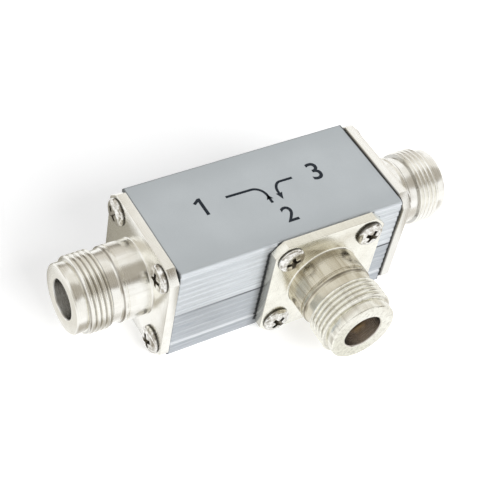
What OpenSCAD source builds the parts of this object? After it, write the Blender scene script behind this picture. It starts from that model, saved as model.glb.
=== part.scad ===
// Coaxial return loss bridge in a split extruded case, with three threaded flange jacks.
// X runs along the two end ports, the test port points to -Y, and Z is up.
// The origin is the centre of the underside of the case.

/* [Case] */
// Length of the extruded case
case_l = 50.6; // [48:0.1:70]
// Width of the case, front to back
case_w = 24.4; // [24:0.1:26]
// Height of the closed case
case_h = 24.4; // [24:0.1:26]
// Thickness of the case walls
wall_t = 1.8; // [1.6:0.1:2]
// Radius of the long outer edges
edge_r = 0.8; // [0.4:0.1:1.2]
// Metal left around each screw channel
channel_wall = 1.1; // [0.8:0.1:1.3]
// Width of the slot that opens each screw channel to the inside
channel_slot = 1.2; // [0.8:0.1:1.6]
// Distance of the flange screws from the nearest outer faces of the case
screw_inset = 3.07; // [2.95:0.01:3.3]

/* [Side ribs] */
// Number of grooves on each side of a half
groove_count = 6; // [0:1:6]
// Spacing of the grooves
groove_pitch = 1.55; // [1.3:0.05:1.6]
// Height of the lower half's first groove above the underside
lower_groove_first = 2.4; // [2.2:0.05:3]
// Distance of the upper half's first groove from the top
upper_groove_first = 2.9; // [2.2:0.05:3]
// Radius of the round groove cutter
groove_r = 0.8; // [0.6:0.05:1]
// Depth of the grooves
groove_depth = 0.12; // [0.05:0.01:0.2]
// Height of the deeper line above the underside
base_line_z = 3.85; // [3.7:0.05:4]
// Radius of the cutter for the deeper line
base_line_r = 0.5; // [0.4:0.05:0.6]
// Depth of the deeper line
base_line_depth = 0.25; // [0.2:0.05:0.35]

/* [Joint between the halves] */
// Thickness of the lip that locates the upper half
lip_t = 0.8; // [0.6:0.1:0.9]
// Height of the lip
lip_h = 1; // [0.6:0.1:1.2]
// Clearance around the lip
lip_gap = 0.1; // [0.05:0.05:0.2]
// Size of the chamfer that shows as the joint line
joint_chamfer = 0.15; // [0.05:0.05:0.3]

/* [Jack flange] */
// Side of the square flange
flange_w = 25.4; // [25:0.1:26]
// Diameter of the turned blank that cuts the corners of the flange
flange_blank_d = 32.6; // [32:0.1:34]
// Thickness of the flange
flange_t = 2.2; // [2:0.1:3]
// Diameter of the flange holes
hole_d = 3.3; // [3.2:0.1:3.6]

/* [Jack barrel] */
// Distance from the case to the rim of the barrel
rim_reach = 17.7; // [17.4:0.1:20]
// Diameter of the smooth barrel
barrel_d = 15.5; // [14.8:0.1:15.8]
// Distance from the case to the shoulder of the barrel
shoulder_reach = 8; // [7:0.1:8.6]
// Radius of the fillet between flange and barrel
fillet_r = 0.35; // [0.1:0.05:0.6]
// Diameter of the neck behind the thread
neck_d = 14.5; // [14.2:0.1:14.8]
// Outer diameter of the coupling thread
thread_d = 15.875; // [15.875:0.005:16]
// Distance from the case to the start of the thread
thread_reach = 10.3; // [9.9:0.1:10.8]
// Length of the thread
thread_l = 5.2; // [4.6:0.1:5.4]
// Chamfer at each end of the thread
thread_chamfer = 0.35; // [0.2:0.05:0.5]
// Diameter of the plain nose in front of the thread
nose_d = 14.3; // [14:0.1:14.6]
// Chamfer around the rim
rim_chamfer = 0.25; // [0.1:0.05:0.4]

/* [Jack socket] */
// Diameter of the socket that takes the plug's sleeve
socket_d = 8.1; // [8:0.05:8.4]
// Depth of the socket to its reference face
socket_depth = 9.1; // [8.8:0.1:9.2]
// Chamfer at the mouth of the socket
mouth_chamfer = 0.25; // [0.1:0.05:0.4]
// Diameter of the outer conductor behind the reference face
line_d = 7; // [6.8:0.1:7.2]
// Diameter of the insulator
insulator_d = 8.3; // [8:0.1:8.4]
// Distance from the case to the front of the insulator
insulator_reach = 5; // [4:0.1:6]
// Diameter of the contact's socket
contact_d = 3.04; // [3:0.02:3.1]
// Diameter of the contact inside the insulator
contact_waist_d = 2; // [1.8:0.1:2.2]
// Distance from the reference face to the front of the contact
contact_proud = 5.26; // [5.18:0.02:5.26]
// Diameter of the hole in the contact
contact_hole_d = 1.66; // [1.6:0.02:1.7]
// Depth of the hole in the contact
contact_hole_depth = 5.4; // [4.5:0.1:5.6]
// Width of the slots that make the contact springy
contact_slot_w = 0.3; // [0.2:0.05:0.4]
// Length of the slots that make the contact springy
contact_slot_l = 4.4; // [3:0.1:4.5]
// Diameter of the solder pin
pin_d = 1.3; // [1:0.1:1.5]
// Distance from the flange's back to the end of the solder pin
pin_reach = 6; // [5.5:0.1:7]
// Radial clearance of pressed pieces, as drawn
seat_gap = 0.02; // [0.01:0.01:0.05]

/* [Screws] */
// Diameter of the screw's shank
screw_d = 3; // [2.8:0.1:3.1]
// Length of the screw under its head
screw_l = 6; // [5:0.5:7]
// Diameter of the screw's head
head_d = 5.8; // [5.5:0.1:6]
// Height of the screw's head
head_h = 1.35; // [1.25:0.05:2.2]
// Height of the straight edge of the head
head_edge_h = 0.3; // [0.2:0.05:0.5]
// Length of the cross recess, tip to tip
recess_l = 3.3; // [2.6:0.1:3.4]
// Width of a wing of the cross recess
recess_w = 0.85; // [0.5:0.05:0.9]
// Depth of the cross recess
recess_depth = 1.05; // [0.8:0.05:1.1]
// Radial clearance of the screws in the case, as drawn
screw_gap = 0.03; // [0.02:0.01:0.06]

/* [Ports] */
// Distance of the test port to the right of the middle
test_x = 7; // [4:0.1:8]

/* [Circuit board] */
// Thickness of the circuit board
board_t = 1.6; // [1:0.1:1.6]
// Gap between each end of the board and the flange beside it
board_end_gap = 2.6; // [2.2:0.1:3]
// Gap between each long edge of the board and the case wall
board_side_gap = 0.2; // [0.1:0.05:0.3]
// Thickness of the copper tracks
track_t = 0.07; // [0.04:0.01:0.1]
// Height left for solder between tracks and pins
solder_gap = 0.03; // [0.02:0.01:0.05]
// Width of the rails that carry the board
rail_w = 1.2; // [0.8:0.1:1.5]
// Thickness of the rails that carry the board
rail_t = 1; // [0.8:0.1:1.5]
// Clearance of the board under the upper rails
rail_gap = 0.1; // [0.05:0.05:0.15]

/* [Chip resistors] */
// Length of a chip resistor
chip_l = 3.2; // [3:0.1:3.2]
// Width of a chip resistor
chip_w = 1.6; // [1.2:0.1:1.6]
// Thickness of a chip resistor
chip_t = 0.6; // [0.4:0.05:0.7]
// Spacing of the two chips of one arm
chip_pitch = 2.2; // [2:0.1:2.4]

/* [Balun] */
// Diameter of the rigid coaxial line
coax_d = 2.2; // [2:0.1:2.3]
// Diameter of the dielectric in the line
coax_dielectric_d = 1.68; // [1.5:0.02:1.7]
// Diameter of the line's centre wire
coax_core_d = 0.51; // [0.4:0.01:0.6]
// Length of the shield of the line
coax_l = 22; // [20:0.5:24]
// Length of bare wire at each end of the line
coax_tail = 0.7; // [0.5:0.1:0.7]
// Number of ferrite sleeves
sleeve_count = 4; // [1:1:4]
// Outer diameter of a ferrite sleeve
sleeve_d = 7; // [6:0.1:7.6]
// Inner diameter of a ferrite sleeve
sleeve_bore = 2.5; // [2.4:0.1:3]
// Length of a ferrite sleeve
sleeve_l = 4.2; // [3:0.1:4.2]
// Gap between two sleeves
sleeve_gap = 0.2; // [0.1:0.05:0.3]

/* [Hidden] */
$fn = 72;

// How far a cutter runs past the face that it opens
over = 0.5;

// The joint between the halves and the axes of all three jacks lie at mid height
seam_z = case_h / 2;
axis_z = case_h / 2;
inner_w = case_w - 2 * wall_t;

// The flange holes lie in line with the screw channels, which follow the case's corners
channel_r = screw_d / 2 + screw_gap;
channel_boss_r = channel_r + channel_wall;
channel_y = case_w / 2 - screw_inset;
channel_z = screw_inset;
hole_across = channel_y;
hole_up = axis_z - channel_z;
screw_tip_room = 0.4;
screw_depth = screw_l - flange_t + screw_tip_room;

// A shallow line follows each long edge
edge_line_gap = 0.3;
edge_line_z = edge_r + edge_line_gap;
edge_line_depth = 0.12;
edge_line_r = 0.5;

// Radii of the jack
barrel_r = barrel_d / 2;
neck_r = neck_d / 2;
thread_r = thread_d / 2;
nose_r = nose_d / 2;
socket_r = socket_d / 2;
line_r = line_d / 2;
insulator_r = insulator_d / 2;
insulator_seat_r = insulator_r + seat_gap;
wall_hole_gap = 0.15;
wall_hole_r = insulator_r + wall_hole_gap;
contact_r = contact_d / 2;
waist_r = contact_waist_d / 2;
pin_r = pin_d / 2;
pin_chamfer = 0.15;
contact_nose = 0.3;

// Stations of the jack along its axis, from the face of the case
reference_reach = rim_reach - socket_depth;
contact_reach = reference_reach + contact_proud;
insulator_tail = wall_t;
shoulder_slope = 0.5;
shoulder_line_back = 0.6;
shoulder_line_w = 0.3;
shoulder_line_depth = 0.15;
thread_end = thread_reach + thread_l;
relief_w = 0.3;
relief_depth = 0.15;

// Screw head: a straight edge under a domed top
head_r = head_d / 2;
dome_h = head_h - head_edge_h;
dome_r = (head_r * head_r + dome_h * dome_h) / (2 * dome_h);
shank_chamfer = 0.3;
recess_floor_r = recess_l / 3;

// Angle at which each screw stopped, from one screw to the next and for the first of each jack
turn_step = 37;
output_turn = 10;
input_turn = 35;
test_turn = 62;

// Board and what stands on it, from the pins downwards
track_top = axis_z - pin_r - solder_gap;
board_top = track_top - track_t;
board_bottom = board_top - board_t;
board_l = case_l - 2 * board_end_gap;
board_w = inner_w - 2 * board_side_gap;
pin_end_x = case_l / 2 - pin_reach;
pad_margin = 0.4;
pad_w = 2 * pin_d;
chip_land = 1.2;
chip_overlap = 0.5;

// Chips: two arms run from the input to the test side, one arm runs to earth
arm_offset = 5;
arm_x = test_x + arm_offset;
arm_y = 3.5;
earth_arm_offset = 3.4;
earth_arm_inset = 3.2;
earth_arm_x = test_x - earth_arm_offset;
earth_arm_y = board_w / 2 - earth_arm_inset;
CHIPS = [
    [arm_x, -arm_y - chip_pitch / 2],
    [arm_x, -arm_y + chip_pitch / 2],
    [arm_x, arm_y - chip_pitch / 2],
    [arm_x, arm_y + chip_pitch / 2],
    [earth_arm_x, earth_arm_y - chip_pitch / 2],
    [earth_arm_x, earth_arm_y + chip_pitch / 2],
];

// Balun line on the axis of the end jacks, with its sleeves in a window of the board
butt_gap = 0.1;
coax_x = -pin_end_x + butt_gap + coax_tail;
coax_r = coax_d / 2;
coax_dielectric_r = coax_dielectric_d / 2;
coax_core_r = coax_core_d / 2;
sleeve_r = sleeve_d / 2;
sleeve_row_l = sleeve_count * sleeve_l + (sleeve_count - 1) * sleeve_gap;
sleeve_x = coax_x + (coax_l - sleeve_row_l) / 2;
window_gap = 0.15;

// Places its children on a port, with local Z pointing out of the case
module at_output() {
    translate([-case_l / 2, 0, axis_z]) rotate([90, 0, -90]) children();
}

module at_input() {
    translate([case_l / 2, 0, axis_z]) rotate([90, 0, 90]) children();
}

module at_test() {
    translate([test_x, -case_w / 2, axis_z]) rotate([90, 0, 0]) children();
}

// Repeats its children at the four flange holes
module at_flange_holes() {
    for (side = [-1, 1], level = [-1, 1])
        translate([side * hole_across, level * hole_up, 0]) children();
}

// Extrudes a section drawn in Y and Z along the whole case
module along_case() {
    translate([-case_l / 2, 0, 0]) rotate([90, 0, 90]) linear_extrude(case_l) children();
}

// Outline of one half with its two rounded outer corners, drawn from its flat face upwards
module half_outline() {
    translate([-case_w / 2, edge_r]) square([case_w, seam_z - edge_r]);
    translate([-case_w / 2 + edge_r, 0]) square([case_w - 2 * edge_r, seam_z]);
    for (side = [-1, 1])
        translate([side * (case_w / 2 - edge_r), edge_r]) circle(edge_r);
}

// A shallow round groove in both side walls
module side_groove(height, depth, radius) {
    for (side = [-1, 1])
        translate([side * (case_w / 2 + radius - depth), height]) circle(radius);
}

// Section shared by both halves: walls, corner channels and grooves, the first at a given height
module half_section(first) {
    difference() {
        union() {
            difference() {
                half_outline();
                translate([-inner_w / 2, wall_t]) square([inner_w, seam_z]);
            }
            intersection() {
                half_outline();
                for (side = [-1, 1])
                    translate([side * channel_y, channel_z]) circle(channel_boss_r);
            }
        }
        for (side = [-1, 1])
            translate([side * channel_y, channel_z]) {
                circle(channel_r);
                rotate(90 + side * 45) translate([0, -channel_slot / 2])
                    square([channel_boss_r + over, channel_slot]);
            }
        side_groove(edge_line_z, edge_line_depth, edge_line_r);
        if (groove_count > 0)
            for (i = [0 : groove_count - 1])
                side_groove(first + i * groove_pitch, groove_depth, groove_r);
        for (side = [-1, 1])
            translate([side * case_w / 2, seam_z]) rotate(45)
                square(joint_chamfer * sqrt(2), center = true);
    }
}

// Lip on the inside of the lower half, and the rails that carry the board
module lower_additions() {
    for (side = [-1, 1]) {
        translate([side * (inner_w + lip_t) / 2, seam_z])
            square([lip_t, 2 * lip_h], center = true);
        rail(side, board_bottom - rail_t, board_bottom);
        rail(side, board_top + rail_gap, seam_z);
    }
}

// One rail on an inner wall, between two heights
module rail(side, low, high) {
    rail_root = wall_t / 2;
    translate([side * (inner_w / 2 - rail_w / 2 + rail_root / 2), (low + high) / 2])
        square([rail_w + rail_root, high - low], center = true);
}

// Recess in the upper half that takes the lip
module upper_recess() {
    recess_t = lip_t + lip_gap;
    for (side = [-1, 1])
        translate([side * (inner_w / 2 - over / 2 + recess_t / 2), seam_z])
            square([recess_t + over, 2 * (lip_h + lip_gap)], center = true);
}

// Holes in the front wall for the test port: its insulator and its four screws
module front_wall_holes() {
    translate([test_x, -case_w / 2, axis_z]) rotate([-90, 0, 0]) {
        translate([0, 0, -over]) cylinder(r = wall_hole_r, h = over + wall_t + rail_w + over);
        at_flange_holes() translate([0, 0, -over]) cylinder(r = channel_r, h = over + screw_depth);
    }
}

module case_lower_half() {
    color("#c3ccd4") difference() {
        along_case() {
            difference() {
                half_section(lower_groove_first);
                side_groove(base_line_z, base_line_depth, base_line_r);
            }
            lower_additions();
        }
        front_wall_holes();
    }
}

module case_upper_half() {
    color("#b7bfc6") difference() {
        translate([0, 0, case_h]) mirror([0, 0, 1]) along_case() difference() {
            half_section(upper_groove_first);
            upper_recess();
        }
        front_wall_holes();
    }
}

// Outside of the turned barrel, as radius and reach
module barrel_outline() {
    polygon([
        [0, 0],
        [barrel_r, 0],
        [barrel_r, shoulder_reach - shoulder_line_back - shoulder_line_w],
        [barrel_r - shoulder_line_depth, shoulder_reach - shoulder_line_back - shoulder_line_w],
        [barrel_r - shoulder_line_depth, shoulder_reach - shoulder_line_back],
        [barrel_r, shoulder_reach - shoulder_line_back],
        [barrel_r, shoulder_reach],
        [neck_r, shoulder_reach + shoulder_slope],
        [neck_r, thread_reach],
        [thread_r, thread_reach + thread_chamfer],
        [thread_r, thread_end - thread_chamfer],
        [nose_r - relief_depth, thread_end],
        [nose_r - relief_depth, thread_end + relief_w],
        [nose_r, thread_end + relief_w],
        [nose_r, rim_reach - rim_chamfer],
        [nose_r - rim_chamfer, rim_reach],
        [0, rim_reach],
    ]);
    difference() {
        translate([barrel_r - fillet_r, flange_t - fillet_r]) square(2 * fillet_r);
        translate([barrel_r + fillet_r, flange_t + fillet_r]) circle(fillet_r);
    }
}

// Inside of the jack: insulator seat, outer conductor and socket
module bore_outline() {
    polygon([
        [0, -over],
        [insulator_seat_r, -over],
        [insulator_seat_r, insulator_reach],
        [line_r, insulator_reach],
        [line_r, reference_reach],
        [socket_r, reference_reach],
        [socket_r, rim_reach - mouth_chamfer],
        [socket_r + mouth_chamfer, rim_reach],
        [socket_r + mouth_chamfer, rim_reach + over],
        [0, rim_reach + over],
    ]);
}

// Square flange whose corners are left round by the turned blank
module flange() {
    linear_extrude(flange_t) intersection() {
        square(flange_w, center = true);
        circle(d = flange_blank_d);
    }
}

module jack_body() {
    color("#d8d4c8") difference() {
        union() {
            flange();
            rotate_extrude() barrel_outline();
        }
        rotate_extrude() bore_outline();
        at_flange_holes() translate([0, 0, -over]) cylinder(d = hole_d, h = flange_t + 2 * over);
    }
}

module jack_insulator() {
    hole_r = waist_r + seat_gap;
    color("white") rotate_extrude() translate([hole_r, -insulator_tail])
        square([insulator_r - hole_r, insulator_tail + insulator_reach]);
}

// Turned contact: solder pin, waist in the insulator and slotted socket
module jack_contact() {
    color("#d9b25a") difference() {
        rotate_extrude() polygon([
            [0, -pin_reach],
            [pin_r - pin_chamfer, -pin_reach],
            [pin_r, -pin_reach + pin_chamfer],
            [pin_r, -insulator_tail],
            [waist_r, -insulator_tail],
            [waist_r, insulator_reach],
            [contact_r, insulator_reach],
            [contact_r, contact_reach - contact_nose],
            [contact_r - contact_nose, contact_reach],
            [0, contact_reach],
        ]);
        translate([0, 0, contact_reach - contact_hole_depth])
            cylinder(d = contact_hole_d, h = contact_hole_depth + over);
        for (turn = [0, 90])
            rotate(turn) translate([-contact_d, -contact_slot_w / 2, contact_reach - contact_slot_l])
                cube([2 * contact_d, contact_slot_w, contact_slot_l + over]);
    }
}

// Cross recess: two wings that narrow towards the floor
module cross_recess() {
    widening = (recess_l / 2 - recess_floor_r) / recess_depth;
    cutter_h = recess_depth + over;
    intersection() {
        for (turn = [0, 90])
            rotate(turn) translate([-recess_l, -recess_w / 2, 0])
                cube([2 * recess_l, recess_w, cutter_h]);
        cylinder(r1 = recess_floor_r, r2 = recess_floor_r + widening * cutter_h, h = cutter_h);
    }
}

// Pan-head screw, with its origin under the head and its shank pointing to -Z
module pan_head_screw(turn) {
    color("#cfd0cc") difference() {
        rotate_extrude() {
            polygon([
                [0, -screw_l],
                [screw_d / 2 - shank_chamfer, -screw_l],
                [screw_d / 2, -screw_l + shank_chamfer],
                [screw_d / 2, 0],
                [0, 0],
            ]);
            intersection() {
                square([head_r, head_h]);
                translate([0, head_h - dome_r]) circle(dome_r);
            }
        }
        rotate(turn) translate([0, 0, head_h - recess_depth]) cross_recess();
    }
}

// Four screws of a jack, each stopped at its own angle
module jack_screws(first_turn) {
    SCREWS = [[1, 1], [-1, 1], [-1, -1], [1, -1]];
    for (i = [0 : 3])
        translate([SCREWS[i][0] * hole_across, SCREWS[i][1] * hole_up, flange_t])
            pan_head_screw(first_turn + i * (90 + turn_step));
}

module output_jack_body() { at_output() jack_body(); }
module output_jack_insulator() { at_output() jack_insulator(); }
module output_jack_contact() { at_output() jack_contact(); }
module output_jack_screws() { at_output() jack_screws(output_turn); }

module input_jack_body() { at_input() jack_body(); }
module input_jack_insulator() { at_input() jack_insulator(); }
module input_jack_contact() { at_input() jack_contact(); }
module input_jack_screws() { at_input() jack_screws(input_turn); }

module test_jack_body() { at_test() jack_body(); }
module test_jack_insulator() { at_test() jack_insulator(); }
module test_jack_contact() { at_test() jack_contact(); }
module test_jack_screws() { at_test() jack_screws(test_turn); }

// Board with a window for the sleeves and a slot for the line's bare ends
module circuit_board() {
    color("#2f7d4f") difference() {
        translate([-board_l / 2, -board_w / 2, board_bottom]) cube([board_l, board_w, board_t]);
        translate([sleeve_x - window_gap, -sleeve_r - window_gap, board_bottom - over])
            cube([sleeve_row_l + 2 * window_gap, sleeve_d + 2 * window_gap, board_t + 2 * over]);
        translate([coax_x - window_gap, -coax_r - window_gap, board_bottom - over])
            cube([coax_l + 2 * window_gap, coax_d + 2 * window_gap, board_t + 2 * over]);
    }
}

// A flat piece of track between two corners
module track(from, to) {
    translate([from[0], from[1], board_top]) cube([to[0] - from[0], to[1] - from[1], track_t]);
}

// Four tracks: output pad, input side, test side with the line's wire, and the earth arm
module circuit_tracks() {
    near_land_x = arm_x - chip_l / 2 + chip_overlap;
    far_land_x = arm_x + chip_l / 2 - chip_overlap;
    arm_reach_y = arm_y + chip_pitch / 2 + chip_w / 2;
    wire_end_x = coax_x + coax_l + coax_tail;
    earth_land_x = earth_arm_x + chip_l / 2 - chip_overlap;
    earth_reach_y = earth_arm_y + chip_pitch / 2 + chip_w / 2;
    color("#c98a4b") {
        track([-board_l / 2 + pad_margin, -pad_w / 2], [-pin_end_x, pad_w / 2]);
        union() {
            track([far_land_x, -pad_w / 2], [board_l / 2 - pad_margin, pad_w / 2]);
            track([far_land_x, -arm_reach_y], [far_land_x + chip_land, arm_reach_y]);
        }
        union() {
            track([test_x - pad_w / 2, -board_w / 2 + pad_margin], [test_x + pad_w / 2, pad_w / 2]);
            track([wire_end_x - coax_tail + 2 * window_gap, -pad_w / 2], [test_x, pad_w / 2]);
            track([test_x, -arm_reach_y], [near_land_x, -arm_reach_y + chip_w]);
            track([near_land_x - chip_land, -arm_reach_y], [near_land_x, -arm_y + chip_w]);
        }
        union() {
            track([near_land_x - chip_land, arm_y - chip_pitch], [near_land_x, earth_reach_y]);
            track([earth_land_x, earth_reach_y - chip_w], [near_land_x, earth_reach_y]);
            track([earth_land_x, earth_reach_y - chip_pitch - chip_w],
                  [earth_land_x + chip_land, earth_reach_y]);
        }
        track([earth_arm_x - chip_l / 2 + chip_overlap - chip_land, earth_reach_y - chip_pitch - chip_w],
              [earth_arm_x - chip_l / 2 + chip_overlap, earth_reach_y]);
    }
}

module chip_resistor(i) {
    color("#2b2b2b") translate([CHIPS[i][0] - chip_l / 2, CHIPS[i][1] - chip_w / 2, track_top])
        cube([chip_l, chip_w, chip_t]);
}

module chip_resistor_1() { chip_resistor(0); }
module chip_resistor_2() { chip_resistor(1); }
module chip_resistor_3() { chip_resistor(2); }
module chip_resistor_4() { chip_resistor(3); }
module chip_resistor_5() { chip_resistor(4); }
module chip_resistor_6() { chip_resistor(5); }

// A round tube along X on the axis of the end jacks; an inner radius of 0 gives a rod
module axial_tube(start, length, outer, inner) {
    translate([start, 0, axis_z]) rotate([0, 90, 0]) difference() {
        cylinder(r = outer, h = length);
        if (inner > 0)
            translate([0, 0, -over]) cylinder(r = inner, h = length + 2 * over);
    }
}

module balun_shield() {
    color("#c98a4b") axial_tube(coax_x, coax_l, coax_r, coax_dielectric_r + seat_gap);
}

module balun_dielectric() {
    color("white") axial_tube(coax_x, coax_l, coax_dielectric_r, coax_core_r + seat_gap);
}

module balun_core() {
    color("silver") axial_tube(coax_x - coax_tail, coax_l + 2 * coax_tail, coax_core_r, 0);
}

module ferrite_sleeve(i) {
    color("#4a4a50")
        if (i < sleeve_count)
            axial_tube(sleeve_x + i * (sleeve_l + sleeve_gap), sleeve_l, sleeve_r, sleeve_bore / 2);
}

module ferrite_sleeve_1() { ferrite_sleeve(0); }
module ferrite_sleeve_2() { ferrite_sleeve(1); }
module ferrite_sleeve_3() { ferrite_sleeve(2); }
module ferrite_sleeve_4() { ferrite_sleeve(3); }

case_upper_half();
case_lower_half();
output_jack_body();
output_jack_insulator();
output_jack_contact();
output_jack_screws();
input_jack_body();
input_jack_insulator();
input_jack_contact();
input_jack_screws();
test_jack_body();
test_jack_insulator();
test_jack_contact();
test_jack_screws();
circuit_board();
circuit_tracks();
chip_resistor_1();
chip_resistor_2();
chip_resistor_3();
chip_resistor_4();
chip_resistor_5();
chip_resistor_6();
balun_shield();
balun_dielectric();
balun_core();
ferrite_sleeve_1();
ferrite_sleeve_2();
ferrite_sleeve_3();
ferrite_sleeve_4();
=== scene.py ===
"""Looks of a coaxial bridge: plated jacks with cut threads, a satin split case and plain print."""
import math

import bmesh
import bpy
from mathutils import Matrix, Vector


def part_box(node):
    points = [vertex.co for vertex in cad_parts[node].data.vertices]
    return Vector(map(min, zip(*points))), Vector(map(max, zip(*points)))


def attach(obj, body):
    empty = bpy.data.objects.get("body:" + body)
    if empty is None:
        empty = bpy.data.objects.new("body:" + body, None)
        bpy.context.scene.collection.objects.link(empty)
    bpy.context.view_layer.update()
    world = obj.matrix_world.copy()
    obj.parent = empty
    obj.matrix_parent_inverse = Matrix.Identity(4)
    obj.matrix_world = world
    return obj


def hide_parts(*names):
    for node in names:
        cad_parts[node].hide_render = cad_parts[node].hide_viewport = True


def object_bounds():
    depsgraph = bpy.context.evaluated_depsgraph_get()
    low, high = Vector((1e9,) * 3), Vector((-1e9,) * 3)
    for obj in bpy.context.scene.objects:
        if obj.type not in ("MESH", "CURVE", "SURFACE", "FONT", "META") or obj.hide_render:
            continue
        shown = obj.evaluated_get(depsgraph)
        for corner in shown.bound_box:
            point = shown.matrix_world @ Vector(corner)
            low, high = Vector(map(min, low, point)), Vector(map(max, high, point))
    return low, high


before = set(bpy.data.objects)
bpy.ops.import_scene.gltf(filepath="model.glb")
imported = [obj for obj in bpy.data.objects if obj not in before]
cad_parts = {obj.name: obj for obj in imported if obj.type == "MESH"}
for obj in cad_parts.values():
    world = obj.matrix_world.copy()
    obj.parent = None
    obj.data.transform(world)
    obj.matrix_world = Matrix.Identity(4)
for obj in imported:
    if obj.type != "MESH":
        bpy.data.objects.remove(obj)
cad_low, cad_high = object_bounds()


def srgb(red, green, blue):
    """A colour given from 0 to 255 as the linear value that a shader takes."""
    def linear(value):
        share = value / 255
        if share <= 0.04045:
            return share / 12.92
        return ((share + 0.055) / 1.055) ** 2.4
    return (linear(red), linear(green), linear(blue), 1)


# Lengths are in millimetres unless a comment says otherwise, and objects are made in metres
MM = 0.001

# Camera of the photograph, fitted to its straight edges, rims and outline; its clipping is in metres
CAMERA_PLACE = (-115.36, -140.07, 204.64)
CAMERA_TURN = (0.906469, 0.326977, -0.159407, -0.214452)
CAMERA_LENS = 93.55
CAMERA_SENSOR = 36
CAMERA_NEAR = 0.01
CAMERA_FAR = 50

# Floor: its radius in metres, its own colour and its colour in reflections, and how much it and the sky
# glow: to the camera near the object and far from it, in reflections, and as light on the object
FLOOR_R = 6.0
FLOOR_PAPER = (0.8, 0.8, 0.8, 1)
MIRRORED_PAPER = (0.1, 0.1, 0.1, 1)
CAMERA_LIFT = 0.48
FAR_LIFT = 0.8
MIRROR_LIFT = 0.95
SKY_LIGHT = 0.3

# Distances from the middle of the floor between which the camera's lift rises
LAMPLIT_R = 250
UNLIT_R = 900

# Name, place and size in metres, and power of each lamp, and the place that they all point at
LAMPS = (
    ("key_lamp", (0.12, -0.56, 0.38), 0.45, 5.0),
    ("top_lamp", (0.2, 0.1, 0.6), 0.5, 0.6),
)
LAMP_AIM = (0, 0, 0.01)

# Cards that only reflections show: name, azimuth, elevation and half angle in degrees, colour, share of
# the radius that stays even, distance in metres, stretch, and shift in metres to the side
CARDS = (
    ("front_card", -90, 65, 31, (0.42, 0.39, 0.34, 1), 0.6, 1.2, 2.6, 0.3),
    ("front_line", -90, 42, 8, (0.27, 0.24, 0.2, 1), 0.5, 1.1, 3.3, 0.05),
    ("back_card", 92, -2, 28, (0.3, 0.27, 0.23, 1), 0.6, 1.2, 1.35, 0),
    ("side_card", -27, 2, 23, (0.32, 0.29, 0.25, 1), 0.5, 1.2, 1, 0),
    ("left_card", -160, 8, 30, (0.5, 0.47, 0.42, 1), 0.5, 1.2, 1, 0),
    ("right_card", 29, 14, 18, (0.75, 0.72, 0.66, 1), 0.5, 1.2, 1, 0),
    ("top_card", 35, 62, 28, (0.82, 0.8, 0.76, 1), 0.5, 1.4, 1, 0),
    ("far_card", 105, 15, 50, (0.66, 0.63, 0.58, 1), 0.6, 1.6, 1, 0),
)

# Painted shadow of the object on the floor, as darker patches that only reflections show: name, middle,
# radius, stretch, turn in degrees, colour and the share of the radius that stays even; each lies a step
# above the one before
FLOOR_SHADOW_CARDS = (
    ("back_floor", (-36, 29), 20, 1.3, 90, (0.36, 0.34, 0.29, 1), 0.6),
    ("rim_floor", (-51, 6), 10, 1.3, 90, (0.76, 0.74, 0.69, 1), 0.3),
    ("output_floor", (-40, -13), 11, 1.3, 0, (0.5, 0.47, 0.42, 1), 0.3),
    ("test_floor", (-13, -26), 10, 1.3, 90, (0.5, 0.48, 0.44, 1), 0.3),
    ("right_floor", (34, -38), 12, 1, 0, (0.78, 0.75, 0.7, 1), 0.3),
    ("front_floor", (9, -34), 10, 1.2, 90, (0.9, 0.9, 0.86, 1), 0.3),
    ("input_floor", (48, -21), 8, 2.2, -65, (0.68, 0.65, 0.6, 1), 0.4),
)
FLOOR_CARD_LIFT = 0.3
FLOOR_CARD_STEP = 0.05

# Each port and its turn from the front of the case, in degrees
PORT_TURNS = {"output": -90, "input": 90, "test": 0}

# Outside of a jack: stations along its axis from the face of the case, and radii
FLANGE_T = 2.2
FLANGE_BLANK_D = 32.6
FLANGE_HALF = 12.7
BARREL_R = 7.75
BARREL_FILLET = 0.35
SHOULDER_REACH = 8
SHOULDER_SLOPE = 0.5
SHOULDER_LINE_BACK = 0.6
SHOULDER_LINE_W = 0.3
SHOULDER_LINE_DEPTH = 0.15
NECK_R = 7.25
THREAD_R = 7.9375
THREAD_REACH = 10.3
THREAD_END = 15.5
THREAD_CHAMFER = 0.35
RELIEF_W = 0.3
RELIEF_DEPTH = 0.15
NOSE_R = 7.15
RIM_CHAMFER = 0.25
HOLE_R = 1.65
HOLE_PLACE = 9.13
HOLE_BREAK = 0.15

# Inside of a jack
SOCKET_R = 4.05
SOCKET_DEPTH = 9.1
MOUTH_CHAMFER = 0.25
LINE_R = 3.5
INSULATOR_REACH = 5
SEAT_R = 4.17

# Thread form: 24 turns to the inch, with worn round crests over narrow grooves
PITCH = 25.4 / 24
CREST_W = PITCH * 0.3
ROOT_W = PITCH * 0.12
THREAD_DEPTH = 0.5
THREAD_EASE = 0.2

# Fineness of round surfaces, softness of corners, the distance within which points become one, and the
# angles in degrees from which an edge is sharp or gets a bevel
AROUND = 160
HOLE_AROUND = 32
DISC_AROUND = 64
FILLET_STEPS = 5
FLANGE_CORNER_STEPS = 14
CORNER_SOFT = 0.06
FLANGE_SOFT = 0.18
FLANGE_SOFT_MIDDLE = 0.3
FLANGE_BACK = 0.3
WELD = 0.0005
SHARP_ANGLE = 32
BEVEL_ANGLE = 40

# Parts of a noise's range over which it fades in: nearly all of it, its middle and its upper part
NOISE_ALL = (0.3, 0.7)
NOISE_MIDDLE = (0.35, 0.65)
NOISE_HIGH = (0.4, 0.7)

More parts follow.
